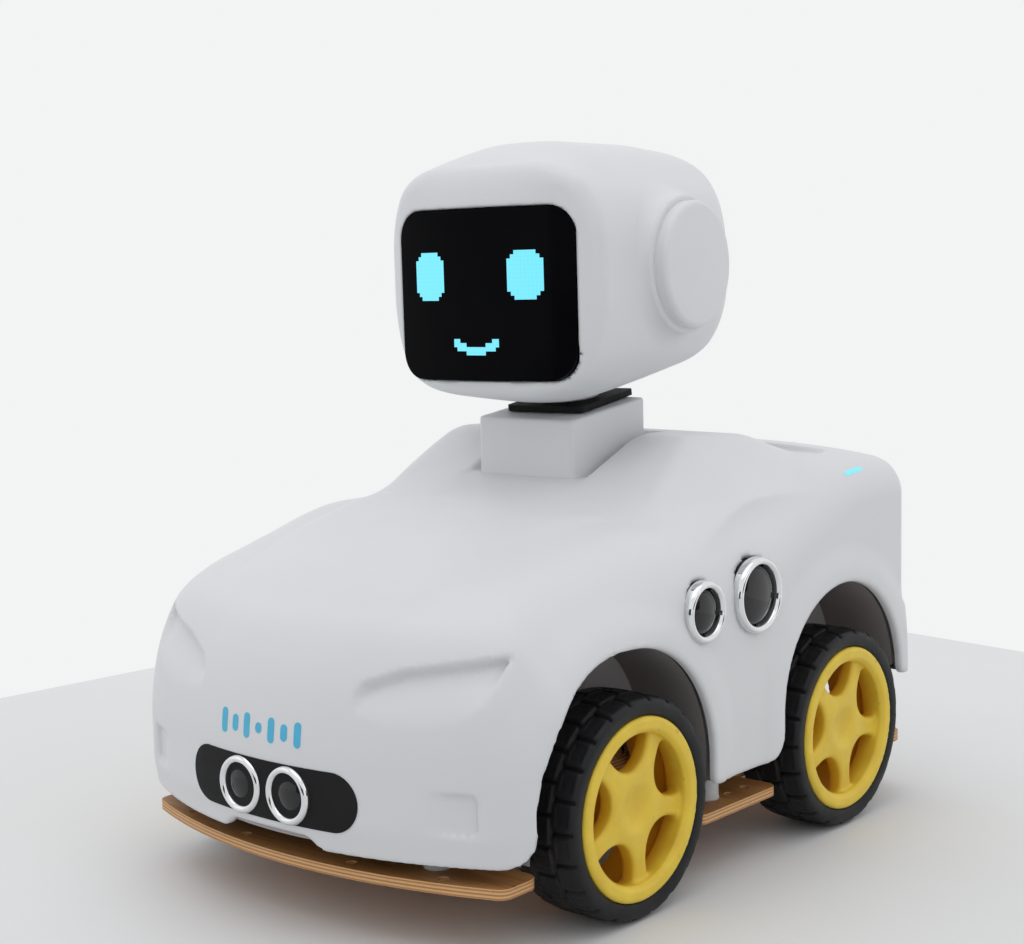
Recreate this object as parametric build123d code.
from build123d import *
import os
from math import atan, cos, degrees, radians, sin, tan

# Four-wheeled robot car with a turning head. Millimetres, +Z up, front towards -Y,
# +X is the car's left. The origin is on the floor, under the middle of the overall box.

# ---- driving dimensions -------------------------------------------------------------
WHEEL_R = 32.5
TYRE_IN, TYRE_OUT = 58.6, 81.0      # tyre side faces, from the centre plane
RIM_R = 26.5                        # tyre seat on the hub
HUB_FACE = 81.4
AXLE_Z = WHEEL_R
AXLES = {"front": -46.4, "rear": 66.4}
SIDES = {"left": 1, "right": -1}
SHAFT_R, SHAFT_END = 2.7, 73.0      # output shaft radius and its outer end in the hub
SHAFT_GAP = 0.05

PLATE_Z, PLATE_T = 17.8, 3.0
PLATE_TOP = PLATE_Z + PLATE_T
PLATE_TAIL = 117.5
PLATE_HALF = 76.0
PLATE_WAIST = 56.0                  # half-width between the wheels

FLANK_X, NOSE_Y, TAIL_Y = 81.5, -116.0, 107.5
NOSE_R = 150.0                      # plan radius of the nose
WALL = 3.0
SHELL_LOW, SHELL_LOW_FRONT, SHELL_LOW_REAR = 31.0, 26.0, 44.0
SHOULDER_R = 14.0
FRONT_CORNER_R, REAR_CORNER_R = 20.0, 15.0
ARCHES = {"front": (-49.7, 39.4, 39.4), "rear": (64.0, 44.8, 36.2)}      # Y, Z, radius
CABIN_FOOT = (31.0, 66.0, 122.0, 104.0, 16.0)    # middle Y, half width, length, Z, corner radius
CABIN_ROOF = (45.0, 42.0, 50.0, 129.5, 12.0)
POST_R, SCREW_R, CLEAR_R, SCREW_HEAD_R, SCREW_HEAD_T = 4.0, 1.25, 1.6, 2.8, 1.8
LINER_IN, LINER_T, LINER_STEP = 53.0, 2.0, 0.6

NECK_HALF, NECK_FRONT, NECK_BACK = 19.7, 0.6, 39.6
NECK_TOP_FRONT, NECK_TOP_BACK = 136.0, 140.9
NECK_LOW, NECK_WALL = 104.0, 2.5
PAN_Y = 24.8
TILT = degrees(atan((NECK_TOP_BACK - NECK_TOP_FRONT) / (NECK_BACK - NECK_FRONT)))
PAN_Z = NECK_TOP_FRONT + (PAN_Y - NECK_FRONT) * tan(radians(TILT))

HEAD_YAW = 4.4                      # the head looks a little to the car's left at rest
HEAD_HALF, HEAD_BACK, HEAD_LOW, HEAD_TOP = 43.6, 68.0, 137.0, 226.0
HEAD_PLAN_R, HEAD_FRONT_R, HEAD_SIDE_R = 20.5, 27.5, 7.0
FACE_Y, FACE_R = -24.4, 125.0       # middle of the screen and its plan radius
SCREEN_W, SCREEN_H, SCREEN_Z, SCREEN_R = 67.0, 52.9, 176.5, 9.0
EAR_Y, EAR_Z, EAR_R = 27.5, 184.0, 20.0
EAR_IN, EAR_OUT = 44.8, 49.2        # back and front of the ear discs, from the head's middle
HEAD_WALL = 2.5

GEARBOX_X = (33.2, 52.0)            # inner and outer face of each gear motor
GEARBOX_HALF_H = 11.25
BRACKET_T = 3.0
BOLT_DY, BOLT_DZ = 20.5, 8.75       # gear motor fixing holes from its shaft
BATTERY_LEN, BATTERY_D = 65.0, 18.4
POSTS = [(44, -92), (-44, -92), (66, 6), (-66, 6), (44, 92), (-44, 92)]

os.makedirs("parts", exist_ok=True)
nodes = {}


# ---- helpers ------------------------------------------------------------------------
def block(x, y, z):
    """A box from pairs of low and high values."""
    size = [hi - lo for lo, hi in (x, y, z)]
    mid = [(hi + lo) / 2 for lo, hi in (x, y, z)]
    return Pos(*mid) * Box(*size)


def rod(axis, at, r, lo, hi):
    """A cylinder along X, Y or Z; at holds the other two coordinates in order."""
    turn = {"X": Rot(0, 90, 0), "Y": Rot(-90, 0, 0), "Z": Rot(0, 0, 0)}[axis]
    mid = (lo + hi) / 2
    place = {"X": (mid, *at), "Y": (at[0], mid, at[1]), "Z": (*at, mid)}[axis]
    return Pos(*place) * turn * Cylinder(r, hi - lo)


def prism(plane, outline, lo, hi):
    """Closed outline drawn on XY, XZ or YZ and extruded along the third axis."""
    base = {"XY": Plane.XY, "YZ": Plane.YZ, "XZ": Plane((0, 0, 0), (1, 0, 0), (0, 1, 0))}[plane]
    if plane == "XZ":
        outline = mirror(outline, Plane.XZ)
    return extrude(base.offset(lo) * outline, hi - lo)


def turned(profile):
    """Profile given as (radius, x) pairs, revolved about the X axis."""
    points = [(x, r) for r, x in profile]
    face = make_face(Polyline(*points, close=True))
    return revolve(face, Axis.X)


def rounded_rect(w, h, r, at=(0, 0)):
    return Pos(*at) * RectangleRounded(w, h, r)


def stadium(w, h, at=(0, 0)):
    return Pos(*at) * RectangleRounded(w, h, h / 2 - 0.01)


def in_neck(shape):
    """Moves a shape drawn about the pan axis, z = 0 on the neck top, to its tilted place."""
    return Pos(0, PAN_Y, PAN_Z) * Rot(TILT, 0, 0) * shape


# ---- body shell ---------------------------------------------------------------------
def plan_prism(inset, lo, hi):
    """Plan of the car body: bowed nose, straight flanks, rounded corners."""
    bow = Pos(0, NOSE_Y + NOSE_R) * Circle(NOSE_R - inset)
    length = TAIL_Y - NOSE_Y - 10 - 2 * inset
    sides = Pos(0, (NOSE_Y + TAIL_Y) / 2 + 5) * Rectangle(2 * (FLANK_X - inset), length)
    nose = Pos(0, NOSE_Y + 20) * Rectangle(2 * (FLANK_X - inset), 40)
    outline = (sides + nose) & (bow + Pos(0, 80) * Rectangle(400, 180))
    front = outline.vertices().sort_by(Axis.Y)[:2]
    outline = fillet(front, FRONT_CORNER_R - inset)
    back = outline.vertices().sort_by(Axis.Y)[-2:]
    outline = fillet(back, REAR_CORNER_R - inset)
    return prism("XY", outline, lo, hi)


def top_prism(inset):
    """Side view of the body: nose, bonnet and rear deck as one flowing line."""
    line = [(-118, 73), (-108, 84.5), (-95, 93), (-75, 101), (-45, 108.5), (-15, 112.5),
            (25, 117.5), (60, 121), (95, 122), (110, 121)]
    ridge = Spline(*[(y, z - inset) for y, z in line])
    rest = Polyline(ridge @ 1, (110, -20), (-118, -20), ridge @ 0)
    return prism("YZ", make_face(ridge + rest), -100, 100)


def cabin(inset):
    """Glasshouse bump on the body, narrower and shorter towards its roof."""
    outlines = []
    for mid_y, half_w, length, level, r in (CABIN_FOOT, CABIN_ROOF):
        down = inset if level == CABIN_ROOF[3] else 0
        outline = RectangleRounded(2 * (half_w - inset), length - 2 * inset, r)
        outlines.append(Plane.XY.offset(level - down) * Pos(0, mid_y) * outline)
    return loft([outline.face() for outline in outlines])


def body_form(inset):
    form = plan_prism(inset, 0, 140) & top_prism(inset)
    rim = form.faces().sort_by(Axis.Z)[-1].edges()
    form = fillet(rim, SHOULDER_R - inset)
    return form + cabin(inset)


def arch(name, grow, x0, x1):
    y, z, r = ARCHES[name]
    outline = Pos(y, z) * Circle(r + grow) + Pos(y, z - 40) * Rectangle(2 * (r + grow), 80)
    return prism("YZ", outline, x0, x1)


def make_shell():
    outer, inner = body_form(0), body_form(WALL)
    body = outer - block((-100, 100), (-150, 150), (-10, SHELL_LOW_FRONT))
    body -= block((-100, 100), (ARCHES["front"][0], 150), (-10, SHELL_LOW))
    body -= block((-100, 100), (ARCHES["rear"][0], 150), (-10, SHELL_LOW_REAR))
    shell = body - inner
    for name in ARCHES:
        for s in SIDES.values():
            span = sorted((s * LINER_IN, s * (FLANK_X - 1)))
            liner = arch(name, LINER_STEP + LINER_T, *span) & body
            shell += liner
            cut = sorted((s * (LINER_IN - 1), s * (FLANK_X - WALL - 0.5)))
            shell -= arch(name, LINER_STEP, *cut)
            shell -= arch(name, 0, *sorted((s * (FLANK_X - WALL - 1), s * 95)))
    for x, y in POSTS:
        post = rod("Z", (x, y), POST_R, PLATE_TOP, 45) + (rod("Z", (x, y), POST_R, 44, 140) & outer)
        shell += post
        shell -= rod("Z", (x, y), SCREW_R, PLATE_TOP - 1, PLATE_TOP + 10)
    shell -= block((-NECK_HALF - 0.2, NECK_HALF + 0.2), (NECK_FRONT - 0.2, NECK_BACK + 0.2), (90, 150))
    return shell, outer


# front sensor panel, set into the nose below the bonnet
PANEL_Z, PANEL_W, PANEL_H = 40.9, 67.4, 17.0
EYES_X, EYES_Z, CAN_R = (-9.75, 9.75), 40.7, 8.0
BEZEL_R = 8.5
SIDE_SENSORS = [(-14.6, 84.0, 9.7), (13.3, 84.7, 12.1)]     # Y, Z, bezel radius
STATUS_AT = (72.5, 80.0)
SLOT_Y, SLOT_W, SLOT_H, SLOT_FLOOR = 84.0, 118.0, 11.0, 119.5


def nose_band(outer_inset, inner_inset, outline):
    """Patch of the bowed nose wall, between two depths, with the outline given in X and Z."""
    band = rod("Z", (0, NOSE_Y + NOSE_R), NOSE_R - outer_inset, 20, 70)
    band -= rod("Z", (0, NOSE_Y + NOSE_R), NOSE_R - inner_inset, 19, 71)
    return band & prism("XZ", outline, NOSE_Y - 5, NOSE_Y + 20)


shell, outer_form = make_shell()
panel_outline = stadium(PANEL_W, PANEL_H, (0, PANEL_Z))
shell -= nose_band(-1, 2.0, stadium(PANEL_W + 0.4, PANEL_H + 0.4, (0, PANEL_Z)))
panel = nose_band(0.4, 1.9, panel_outline)
for x in EYES_X:
    shell -= rod("Y", (x, EYES_Z), BEZEL_R + 0.3, NOSE_Y - 2, NOSE_Y + 12)
    panel -= rod("Y", (x, EYES_Z), BEZEL_R - 0.3, NOSE_Y - 2, NOSE_Y + 12)
nodes["front_sensor_panel"] = panel

# pockets for the headlamps and the fog lamps
for s in SIDES.values():
    lamp = Pos(s * 51, -105, 75) * Rot(0, s * -12, s * 28) * Box(42, 12, 11)
    shell -= lamp & outer_form - body_form(1.2)
    shell -= nose_band(-1, 0.8, rounded_rect(12, 11, 2.5, (s * 60, 41.5)))
bumper_notch = make_face(Polyline((-21, 25), (21, 25), (14.5, 30), (-14.5, 30), close=True))
shell -= prism("XZ", bumper_notch, NOSE_Y - 2, NOSE_Y + 10) & block((-30, 30), (-120, -100), (20, 29.5))

# ports for the side sensors
for s in SIDES.values():
    for y, z, r in SIDE_SENSORS:
        shell -= rod("X", (y, z), r - 1.2, *sorted((s * 70, s * 90)))

# finger recess behind the cabin, with the power switch in its floor
recess = prism("XY", stadium(SLOT_W, SLOT_H, (0, SLOT_Y)), SLOT_FLOOR, 130)
floor_outline = stadium(SLOT_W + 4, SLOT_H + 4, (0, SLOT_Y))
recess_floor = prism("XY", floor_outline, SLOT_FLOOR - 2.5, SLOT_FLOOR + 1.0) & outer_form
shell = shell + recess_floor - recess
SWITCH_L, SWITCH_W = 14.0, 7.0
switch_half, switch_wide = SWITCH_L / 2 + 0.2, SWITCH_W / 2 + 0.2
shell -= block((-switch_half, switch_half), (SLOT_Y - switch_wide, SLOT_Y + switch_wide), (110, 125))
switch_span = (SLOT_Y - SWITCH_W / 2, SLOT_Y + SWITCH_W / 2)
switch_body = block((-SWITCH_L / 2, SWITCH_L / 2), switch_span, (113.0, SLOT_FLOOR))
KNOB_L, KNOB_W, SWITCH_TRAVEL, KNOB_GAP = 4.0, 3.0, 3.0, 0.3
knob_low = -KNOB_L / 2 - SWITCH_TRAVEL / 2
knob_slot = (SLOT_Y - KNOB_W / 2 - KNOB_GAP, SLOT_Y + KNOB_W / 2 + KNOB_GAP)
switch_body -= block((knob_low - KNOB_GAP, -knob_low + KNOB_GAP), knob_slot, (116.5, 125))
nodes["power_switch_body"] = switch_body
knob = block((knob_low, knob_low + KNOB_L), (SLOT_Y - KNOB_W / 2, SLOT_Y + KNOB_W / 2), (116.8, 121.0))
nodes["power_switch_knob"] = fillet(knob.edges().group_by(Axis.Z)[-1], 0.5)

# status light, a small pill flush with the left shoulder
pill = prism("XY", stadium(10.0, 2.6), 100, 130)
pill_hole = prism("XY", stadium(10.4, 3.0), 100, 130)
pill_place = Pos(*STATUS_AT, 0) * Rot(0, 0, 90)
skin = outer_form - body_form(1.4)
nodes["status_light"] = (pill_place * pill) & skin
shell -= (pill_place * pill_hole) & (outer_form - body_form(1.6))
nodes["body_shell"] = shell


# ---- chassis plate ------------------------------------------------------------------
def plate_outline():
    front_wheel, rear_wheel = AXLES["front"], AXLES["rear"]
    clear = WHEEL_R + 2.4
    bow = Pos(0, -110.0 + 190) * Circle(190)
    lead = Rectangle(144, 60)
    front = (Pos(0, -87.6) * lead) & bow
    front = front - Pos(0, front_wheel - clear + 30) * Rectangle(200, 60)
    waist = Pos(0, 0) * Rectangle(2 * PLATE_WAIST, 190)
    between_wheels = rear_wheel - front_wheel - 2 * clear
    middle = Pos(0, (front_wheel + rear_wheel) / 2) * Rectangle(2 * PLATE_HALF, between_wheels)
    back_y = rear_wheel + clear
    back = Pos(0, (back_y + PLATE_TAIL) / 2) * Rectangle(2 * PLATE_HALF - 4, PLATE_TAIL - back_y)
    whole = front + waist + middle + back + Pos(0, 90) * Rectangle(2 * PLATE_WAIST, 30)
    sharp = [v for v in whole.vertices() if abs(v.X) > PLATE_WAIST + 1 and v.Y < PLATE_TAIL - 1]
    whole = fillet(sharp, 4.0)
    tail = [v for v in whole.vertices() if v.Y > PLATE_TAIL - 1]
    return fillet(tail, 9.0)


HOLE_PLACES = ((69, 14), (69, 23), (22, -104), (52, -98.5))
ACCESSORY_HOLES = [(s * x, y) for s in (1, -1) for x, y in HOLE_PLACES]
SLOT_TAB = 12.0
NUT_R, NUT_T = 3.0, 2.4
plate = prism("XY", plate_outline(), PLATE_Z, PLATE_TOP)
for x, y in ACCESSORY_HOLES + POSTS:
    plate -= rod("Z", (x, y), CLEAR_R, PLATE_Z - 1, PLATE_TOP + 1)

# ---- drive units --------------------------------------------------------------------
brackets, bolts, nuts, caps = [], [], [], []
reach = {"front": 1, "rear": -1}                # each motor points to the middle of the car


def between(y0, direction, a, b):
    """Y span from a to b, measured from y0 in the given direction."""
    return tuple(sorted((y0 + direction * a, y0 + direction * b)))


def gearbox(y0, d, s):
    """Yellow gear housing with a cradle that holds the motor, as one moulding."""
    x = sorted((s * GEARBOX_X[0], s * GEARBOX_X[1]))
    z = (AXLE_Z - GEARBOX_HALF_H, AXLE_Z + GEARBOX_HALF_H)
    body = block(x, between(y0, d, 0, 26), z) + rod("X", (y0, AXLE_Z), GEARBOX_HALF_H, *x)
    body = body + block(x, between(y0, d, 25, 46), (AXLE_Z - 10.4, AXLE_Z + 10.4))
    body -= block((x[0] + 2, x[1] - 2), between(y0, d, 27, 50), (z[0] - 1, z[1] + 1))
    hollow = block((x[0] + 2, x[1] - 2), between(y0, d, 0, 15), (z[0] + 2, z[1] - 2))
    hollow += rod("X", (y0, AXLE_Z), GEARBOX_HALF_H - 2, x[0] + 2, x[1] - 2)
    body -= hollow
    body -= rod("X", (y0, AXLE_Z), SHAFT_R + SHAFT_GAP, x[0] - 1, x[1] + 1)
    for dz in (-BOLT_DZ, BOLT_DZ):
        body -= rod("X", (y0 + d * BOLT_DY, AXLE_Z + dz), 1.6, x[0] - 1, x[1] + 1)
    body += block((x[0] + 6, x[1] - 6), between(y0, d, -GEARBOX_HALF_H - 4, -GEARBOX_HALF_H + 1.5),
                  (AXLE_Z - 2.5, AXLE_Z + 2.5))
    return body


def motor_can(y0, d, s):
    """Flat-sided small motor, with its stub shaft, in the cradle."""
    x_mid = s * (GEARBOX_X[0] + GEARBOX_X[1]) / 2
    can = block((x_mid - 7.2, x_mid + 7.2), between(y0, d, 27.2, 51), (AXLE_Z - 9.9, AXLE_Z + 9.9))
    can = fillet(can.edges().filter_by(Axis.Y), 5)
    return can


def end_cap(y0, d, s):
    x_mid = s * (GEARBOX_X[0] + GEARBOX_X[1]) / 2
    cap = block((x_mid - 6.8, x_mid + 6.8), between(y0, d, 51, 53), (AXLE_Z - 9.2, AXLE_Z + 9.2))
    cap = fillet(cap.edges().filter_by(Axis.Y), 4.5)
    for dz in (-5, 5):
        tag_z = (AXLE_Z + dz - 0.3, AXLE_Z + dz + 0.3)
        cap += block((x_mid - 1.2, x_mid + 1.2), between(y0, d, 52.9, 54.6), tag_z)
    return cap


def drive_shaft(y0, s):
    """Output shaft and its final gear, which turn with the wheel."""
    shaft = rod("X", (y0, AXLE_Z), SHAFT_R, *sorted((s * (GEARBOX_X[0] - 4), s * SHAFT_END)))
    gear = rod("X", (y0, AXLE_Z), 7.6, *sorted((s * 38.0, s * 43.0)))
    teeth = 24
    for i in range(teeth):
        tooth = Box(3.2, 1.2, 1.0)
        place = Pos(s * 40.5, y0, AXLE_Z) * Rot(i * 360 / teeth, 0, 0) * Pos(0, 0, 7.9)
        gear += place * tooth
    return shaft + gear


def hub(y0, s):
    """Wheel hub: rim barrel, five spokes and a dished boss round the shaft."""
    rim = turned([(RIM_R, TYRE_IN + 0.5), (RIM_R, HUB_FACE - 1.0), (RIM_R - 1.0, HUB_FACE),
                  (RIM_R - 4.4, HUB_FACE), (RIM_R - 4.9, HUB_FACE - 1.5), (RIM_R - 2.3, HUB_FACE - 8),
                  (RIM_R - 2.0, TYRE_IN + 0.5)])
    boss = turned([(SHAFT_R, TYRE_IN + 4), (7.0, TYRE_IN + 4), (7.5, HUB_FACE - 2.6),
                   (5.5, HUB_FACE - 2.9), (0, HUB_FACE - 3.6), (0, SHAFT_END), (SHAFT_R, SHAFT_END)])
    spoke_half, depth = 4.2, 5.0
    within_rim = rod("X", (0, 0), RIM_R - 1, HUB_FACE - 20, HUB_FACE)
    whole = rim + boss
    for i in range(5):
        arm = Polyline((5, -spoke_half), (13, -spoke_half + 0.8), (22.5, -7.5), (25.2, -9.0),
                       (25.2, 9.0), (22.5, 7.5), (13, spoke_half - 0.8), (5, spoke_half), close=True)
        arm_solid = prism("YZ", make_face(arm), HUB_FACE - 2.6 - depth, HUB_FACE - 2.6) & within_rim
        whole += Rot(61 + i * 72, 0, 0) * arm_solid
    whole = whole if s > 0 else mirror(whole, Plane.YZ)
    return Pos(0, y0, AXLE_Z) * whole


def tyre(y0, s):
    """Rubber tyre: flat tread with rounded shoulders and a row of cross grooves."""
    ring = turned([(RIM_R, TYRE_IN), (WHEEL_R - 2.2, TYRE_IN), (WHEEL_R - 0.6, TYRE_IN + 1.2),
                   (WHEEL_R, TYRE_IN + 3.0), (WHEEL_R, TYRE_OUT - 3.0), (WHEEL_R - 0.6, TYRE_OUT - 1.2),
                   (WHEEL_R - 2.2, TYRE_OUT), (RIM_R, TYRE_OUT)])
    ring = ring if s > 0 else mirror(ring, Plane.YZ)
    return Pos(0, y0, AXLE_Z) * ring


for end, y0 in AXLES.items():
    for side, s in SIDES.items():
        corner = f"{end}_{side}"
        d = reach[end]
        nodes[f"gearbox_{corner}"] = gearbox(y0, d, s)
        nodes[f"motor_{corner}"] = motor_can(y0, d, s)
        caps.append(end_cap(y0, d, s))
        nodes[f"drive_shaft_{corner}"] = drive_shaft(y0, s)
        nodes[f"wheel_hub_{corner}"] = hub(y0, s)
        nodes[f"tyre_{corner}"] = tyre(y0, s)
        bolt_y = y0 + d * BOLT_DY
        for x0 in (GEARBOX_X[0] - BRACKET_T, GEARBOX_X[1]):
            x = sorted((s * x0, s * (x0 + BRACKET_T)))
            tee = block(x, (bolt_y - 11, bolt_y + 11), (PLATE_TOP, AXLE_Z + 6))
            tee += block(x, (bolt_y - 6, bolt_y + 6), (AXLE_Z + 5, AXLE_Z + 13))
            tee += block(x, (bolt_y - SLOT_TAB / 2, bolt_y + SLOT_TAB / 2), (PLATE_Z, PLATE_TOP + 1))
            for dz in (-BOLT_DZ, BOLT_DZ):
                tee -= rod("X", (bolt_y, AXLE_Z + dz), 1.6, x[0] - 1, x[1] + 1)
            brackets.append(tee)
            gap = 0.1
            slot_y = (bolt_y - SLOT_TAB / 2 - gap, bolt_y + SLOT_TAB / 2 + gap)
            plate -= block((x[0] - gap, x[1] + gap), slot_y, (PLATE_Z - 1, PLATE_TOP + 1))
        for dz in (-BOLT_DZ, BOLT_DZ):
            at = (bolt_y, AXLE_Z + dz)
            ends = (s * (GEARBOX_X[0] - 6.4), s * (GEARBOX_X[1] + BRACKET_T))
            head = rod("X", at, 2.75, *sorted((ends[1], s * (GEARBOX_X[1] + BRACKET_T + 1.9))))
            bolts.append(rod("X", at, 1.5, *sorted(ends)) + head)
            inner_face = s * (GEARBOX_X[0] - BRACKET_T)
            nut_plane = Plane.YZ.offset(min(inner_face, inner_face - s * NUT_T))
            nut = extrude(nut_plane * Pos(*at) * RegularPolygon(NUT_R, 6), NUT_T)
            nuts.append(nut - rod("X", at, 1.55, *sorted((inner_face + s, inner_face - s * 4))))

nodes["chassis_plate"] = plate
nodes["motor_brackets"] = brackets
nodes["motor_bolts"] = bolts
nodes["motor_nuts"] = nuts
nodes["motor_end_caps"] = caps
shell_screws = []
for at in POSTS:
    screw_head = rod("Z", at, SCREW_HEAD_R, PLATE_Z - SCREW_HEAD_T, PLATE_Z)
    shell_screws.append(rod("Z", at, 1.2, PLATE_Z, PLATE_TOP + 8) + screw_head)
nodes["shell_screws"] = shell_screws

# ---- battery and control board ------------------------------------------------------
TRAY_Y = (-54.0, 22.0)
TRAY_HALF, TRAY_WALL, TRAY_H = 20.6, 1.8, 15.0
tray = block((-TRAY_HALF, TRAY_HALF), TRAY_Y, (PLATE_TOP, PLATE_TOP + TRAY_H))
tray_room = (TRAY_Y[0] + TRAY_WALL, TRAY_Y[1] - TRAY_WALL)
tray -= block((-TRAY_HALF + TRAY_WALL, TRAY_HALF - TRAY_WALL), tray_room,
              (PLATE_TOP + 1.6, PLATE_TOP + TRAY_H + 1))
nodes["battery_tray"] = tray
cell_mid, cell_z = sum(TRAY_Y) / 2, PLATE_TOP + 1.8 + BATTERY_D / 2
cells = []
for x in (-9.35, 9.35):
    cell_end = cell_mid + BATTERY_LEN / 2
    cell = rod("Y", (x, cell_z), BATTERY_D / 2, cell_mid - BATTERY_LEN / 2, cell_end)
    cells.append(cell + rod("Y", (x, cell_z), 2.8, cell_end, cell_end + 1.0))
nodes["battery_cells"] = cells

BOARD_X, BOARD_Y, BOARD_Z, BOARD_T = 28.0, (32.0, 94.0), 50.8, 1.6
BOARD_HOLES = [(x, y) for x in (-23.5, 23.5) for y in (37.0, 89.0)]
board = block((-BOARD_X, BOARD_X), BOARD_Y, (BOARD_Z, BOARD_Z + BOARD_T))
board = fillet(board.edges().filter_by(Axis.Z), 3)
standoffs, board_screws = [], []
for at in BOARD_HOLES:
    board -= rod("Z", at, CLEAR_R, BOARD_Z - 1, BOARD_Z + 3)
    plate_screw = rod("Z", at, 1.45, PLATE_Z, PLATE_TOP + 5)
    plate_screw += rod("Z", at, SCREW_HEAD_R, PLATE_Z - SCREW_HEAD_T, PLATE_Z)
    nodes["chassis_plate"] -= rod("Z", at, CLEAR_R, PLATE_Z - 1, PLATE_TOP + 1)
    post = extrude(Plane.XY.offset(PLATE_TOP) * Pos(*at) * RegularPolygon(3.0, 6), BOARD_Z - PLATE_TOP)
    standoffs.append(post - rod("Z", at, 1.5, PLATE_TOP - 1, BOARD_Z + 1))
    top_screw = rod("Z", at, 1.45, BOARD_Z - 4, BOARD_Z + BOARD_T)
    top_screw += rod("Z", at, SCREW_HEAD_R, BOARD_Z + BOARD_T, BOARD_Z + BOARD_T + SCREW_HEAD_T)
    board_screws += [plate_screw, top_screw]
nodes["control_board"] = board
nodes["standoffs"] = standoffs
nodes["board_screws"] = board_screws
top = BOARD_Z + BOARD_T
nodes["board_components"] = [
    block((-9, 9), (60, 85.5), (top, top + 3.1)),
    block((-4.6, 4.6), (33.0, 40.5), (top, top + 3.2)),
    block((-20, -10), (44, 52), (top, top + 1.2)),
    block((12, 20), (48, 64), (top, top + 2.2)),
    block((-26.5, -20.5), (58, 74), (top, top + 6.0)),
    block((20.5, 26.5), (66, 82), (top, top + 6.0)),
    rod("Z", (0, 50), 4.0, top, top + 9),
]

# ---- sensors ------------------------------------------------------------------------


def bezel_ring(r):
    """Rounded chrome ring, drawn about the X axis, with its back face at x = 0."""
    return turned([(r - 2.1, 0.0), (r, 0.0), (r, 0.9), (r - 0.35, 1.5), (r - 0.95, 1.8),
                   (r - 1.6, 1.5), (r - 2.1, 0.7)])


def sensor_can(r, depth):
    return turned([(0, -depth), (r, -depth), (r, -0.6), (r - 1.2, -0.6), (r - 1.2, -2.2), (0, -2.2)])


def lens_dome(r, rise):
    """Domed clear lens in front of the receiver."""
    steps = 6
    angles = [radians(90 * i / steps) for i in range(steps + 1)]
    curve = [(r * cos(a), rise * sin(a)) for a in angles]
    return turned([(0, -2.0), (r, -2.0)] + [(a, b - 0.6) for a, b in curve[:-1]] + [(0, rise - 0.6)])


front_bezels, front_cans, front_lenses = [], [], []
for x in EYES_X:
    at = Pos(x, NOSE_Y + 0.6, EYES_Z) * Rot(0, 0, -90)
    front_bezels.append(at * Pos(0.3, 0, 0) * bezel_ring(BEZEL_R))
    front_cans.append(at * Pos(0.3, 0, 0) * sensor_can(CAN_R, 10))
    front_lenses.append(at * Pos(0.2, 0, 0) * lens_dome(CAN_R - 1.9, 1.2))
nodes["front_bezels"] = front_bezels
nodes["front_sensor_cans"] = front_cans
nodes["front_lenses"] = front_lenses
board_y = NOSE_Y + 0.3 + 10.3
nodes["front_sensor_board"] = block((-22.5, 22.5), (board_y, board_y + 1.6), (32.5, 52.5))

cans = []
for side, s in SIDES.items():
    rings, lenses = [], []
    for y, z, r in SIDE_SENSORS:
        ring, can, lens = bezel_ring(r), sensor_can(r - 1.4, 11), lens_dome(r - 3.4, 1.6)
        for pile, piece, back in ((rings, ring, 0.1), (cans, can, 0.05), (lenses, lens, 0.0)):
            shape = Pos(FLANK_X + back, y, z) * piece
            pile.append(shape if s > 0 else mirror(shape, Plane.YZ))
    nodes[f"side_bezels_{side}"] = rings
    nodes[f"side_lenses_{side}"] = lenses
nodes["side_sensor_cans"] = cans

# ---- neck and its turning servo -----------------------------------------------------
keep = block((-NECK_HALF, NECK_HALF), (NECK_FRONT, NECK_BACK), (NECK_LOW, 150))
above = in_neck(block((-60, 60), (-60, 60), (0, 60)))
neck = keep - above
neck = fillet(neck.edges().filter_by(Axis.Z), 1.2)
core_y = (NECK_FRONT + NECK_WALL, NECK_BACK - NECK_WALL)
core = block((-NECK_HALF + NECK_WALL, NECK_HALF - NECK_WALL), core_y, (NECK_LOW - 1, 150))
core -= in_neck(block((-60, 60), (-60, 60), (-NECK_WALL, 60)))
neck -= core
neck -= in_neck(rod("Z", (0, 0), 6.2, -10, 5))

CASE_BACK, CASE_L, CASE_W, CASE_H = 5.9, 22.8, 12.2, 22.7
case_top = -NECK_WALL - 0.1
case = block((-CASE_W / 2, CASE_W / 2), (CASE_BACK - CASE_L, CASE_BACK), (case_top - CASE_H, case_top))
EAR_TABS = 4.7
ears_y = (CASE_BACK - CASE_L - EAR_TABS, CASE_BACK + EAR_TABS)
ears = block((-CASE_W / 2, CASE_W / 2), ears_y, (case_top - 6.8, case_top - 4.3))
servo = case + ears + rod("Z", (0, 0), 5.9, case_top - 1, 0.15)
servo -= rod("Z", (0, 0), 2.3 + SHAFT_GAP, -8, 5)
rails, servo_screws = [], []
for y in (CASE_BACK - CASE_L - 2.3, CASE_BACK + 2.3):
    servo -= rod("Z", (0, y), 1.05, case_top - 8, case_top - 3)
    rails.append(block((-5, 5), (y - 2.2, y + 2.2), (case_top - 4.2, -NECK_WALL + 0.5)))
    screw_head = rod("Z", (0, y), 1.9, case_top - 8.3, case_top - 6.9)
    servo_screws.append(rod("Z", (0, y), 1.0, case_top - 7, case_top - 2) + screw_head)
for rail in rails:
    neck += in_neck(rail) & keep
for y in (CASE_BACK - CASE_L - 2.3, CASE_BACK + 2.3):
    neck -= in_neck(rod("Z", (0, y), 1.02, case_top - 6, -1.2))
nodes["neck_housing"] = neck
nodes["pan_servo"] = in_neck(servo)
nodes["servo_screws"] = [in_neck(s) for s in servo_screws]

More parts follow.
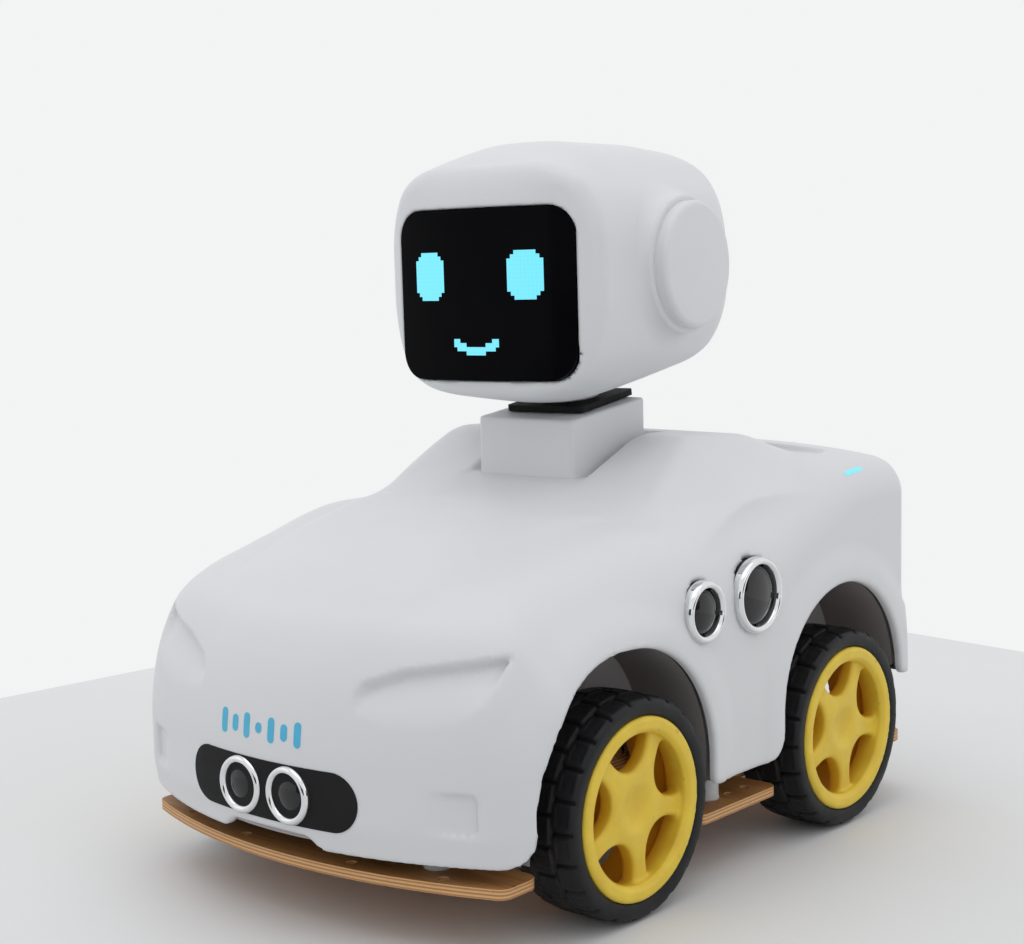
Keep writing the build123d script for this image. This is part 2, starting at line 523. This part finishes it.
PLATE_GAP, TURN_T, HORN_T, HORN_R = 0.4, 2.0, 1.6, 9.5
turn_top = PLATE_GAP + TURN_T
turn = prism("XY", RectangleRounded(30, 31, 1.5), PLATE_GAP, turn_top) - rod("Z", (0, 0), 3.6, 0, 5)
nodes["turntable_plate"] = in_neck(turn)
shaft = rod("Z", (0, 0), 2.3, -7, turn_top + 1.4)
nodes["servo_output_shaft"] = in_neck(shaft)
horn = rod("Z", (0, 0), 3.5, PLATE_GAP + 0.2, turn_top)
horn += rod("Z", (0, 0), HORN_R, turn_top, turn_top + HORN_T)
nodes["servo_horn"] = in_neck(horn - rod("Z", (0, 0), 2.3, 0, turn_top + 1.4))


# ---- head ---------------------------------------------------------------------------
def head_form(inset):
    """Rounded helmet: plan, side and front outlines intersected, face bowed like the screen."""
    front_y = FACE_Y - 3.7
    mid_y, length = (HEAD_BACK + front_y) / 2, HEAD_BACK - front_y
    half, height = HEAD_HALF - inset, HEAD_TOP - HEAD_LOW
    plan = Pos(0, mid_y) * RectangleRounded(2 * half, length - 2 * inset, HEAD_PLAN_R - inset)
    front = RectangleRounded(2 * half, height - 2 * inset, HEAD_FRONT_R - inset)
    front = Pos(0, (HEAD_LOW + HEAD_TOP) / 2) * front
    top = HEAD_TOP - inset
    side = Polyline((front_y + inset, 150), (front_y + inset, 211), (-6, top), (44, top),
                    (HEAD_BACK - inset, 211), (HEAD_BACK - inset, 173), (52, 154 + inset),
                    (PAN_Y + 18, 148.5 + inset), (-8, 139 + inset), close=True)
    side_face = make_face(side)
    side_face = fillet(side_face.vertices(), HEAD_SIDE_R)
    form = prism("XY", plan, 130, 230) & prism("XZ", front, -40, 80) & prism("YZ", side_face, -60, 60)
    form &= rod("Z", (0, FACE_Y + 0.3 + FACE_R), FACE_R - inset, 130, 230)
    under = in_neck(block((-80, 80), (-80, 80), (-60, turn_top + inset)))
    return form - under


def face_band(outer_inset, inner_inset, outline):
    """Patch of the bowed face between two depths, with the outline given in X and Z."""
    band = rod("Z", (0, FACE_Y + FACE_R), FACE_R - outer_inset, 130, 230)
    band -= rod("Z", (0, FACE_Y + FACE_R), FACE_R - inner_inset, 129, 231)
    return band & prism("XZ", outline, FACE_Y - 10, FACE_Y + 20)


def stepped(rows, cell, at):
    """Lit dots joined to one outline: rows of (first, last) columns, from the top down."""
    shape = None
    for i, (first, last) in enumerate(rows):
        w = (last - first + 1) * cell
        x, z = at[0] + (first + last + 1) / 2 * cell, at[1] - (i + 0.5) * cell
        row = Pos(x, z) * Rectangle(w, cell + 0.02)
        shape = row if shape is None else shape + row
    return shape


helmet = head_form(0) - head_form(HEAD_WALL)
for s in SIDES.values():
    collar = rod("X", (EAR_Y, EAR_Z), EAR_R + 2.0, *sorted((s * 40.8, s * (EAR_IN - 0.2))))
    helmet += collar - rod("X", (EAR_Y, EAR_Z), EAR_R - 5, *sorted((s * 40, s * 46)))
window = rounded_rect(SCREEN_W + 0.3, SCREEN_H + 0.3, SCREEN_R, (0, SCREEN_Z))
helmet -= prism("XZ", window, -40, 0)
helmet -= in_neck(rod("Z", (0, 0), HORN_R + 0.3, turn_top - 1, turn_top + 5))
nodes["head_shell"] = helmet

lens = face_band(0, 2.2, rounded_rect(SCREEN_W, SCREEN_H, SCREEN_R - 0.15, (0, SCREEN_Z)))
DOT = 1.25
EYE_X, EYE_TOP, PICTURE_X = 18.6, 189.9, -1.2
eye_rows = [(2, 7), (1, 8)] + [(0, 9)] * 8 + [(1, 8), (2, 7)]
lit = {}
for side, s in SIDES.items():
    lit[f"eye_{side}"] = stepped(eye_rows, DOT, (PICTURE_X + s * EYE_X - 5 * DOT, EYE_TOP))
smile_at = (PICTURE_X - 7 * DOT, 162.9)
smile = stepped([(0, 1), (0, 3), (1, 12), (4, 9)], DOT, smile_at)
smile += stepped([(12, 13), (10, 13)], DOT, smile_at)
lit["mouth"] = smile
lights = {name: face_band(0.02, 0.6, outline) for name, outline in lit.items()}
for outline in lit.values():
    lens -= face_band(-0.5, 0.62, offset(outline, 0.03, kind=Kind.INTERSECTION))
nodes["eye_lights"] = [lights["eye_left"], lights["eye_right"]]
nodes["mouth_light"] = lights["mouth"]
nodes["face_lens"] = lens

module_y = FACE_Y + 9.0
nodes["display_module"] = block((-31, 31), (module_y, module_y + 3.2), (SCREEN_Z - 23, SCREEN_Z + 23))
nodes["head_board"] = block((-24, 24), (module_y + 12, module_y + 13.6), (160, 190))
for side, s in SIDES.items():
    disc = turned([(0, EAR_IN), (EAR_R, EAR_IN), (EAR_R, EAR_OUT - 1.6), (EAR_R - 0.5, EAR_OUT - 0.6),
                   (EAR_R - 1.6, EAR_OUT), (0, EAR_OUT)])
    spigot = rod("X", (0, 0), EAR_R - 5.2, HEAD_HALF + 0.1, EAR_IN + 0.2)
    cap = Pos(0, EAR_Y, EAR_Z) * (disc + spigot)
    nodes[f"ear_cap_{side}"] = cap if s > 0 else mirror(cap, Plane.YZ)

# the head and what turns with it stand turned about the tilted pan axis
HEAD_NODES = ["turntable_plate", "servo_output_shaft", "servo_horn", "head_shell", "face_lens",
              "eye_lights", "mouth_light", "display_module", "head_board", "ear_cap_left",
              "ear_cap_right"]
pan_place = Pos(0, PAN_Y, PAN_Z) * Rot(TILT, 0, 0)
turn_head = pan_place * Rot(0, 0, HEAD_YAW) * pan_place.inverse()
for name in HEAD_NODES:
    shape = nodes[name]
    nodes[name] = [turn_head * item for item in shape] if isinstance(shape, list) else turn_head * shape

# ---- write --------------------------------------------------------------------------
for name, shape in nodes.items():
    solids = shape if isinstance(shape, list) else [shape]
    solids = [solid for item in solids for solid in item.solids()]
    whole = Compound(solids) if len(solids) > 1 else solids[0]
    export_step(whole, f"parts/{name}.step")
print(len(nodes), "sub-parts written")
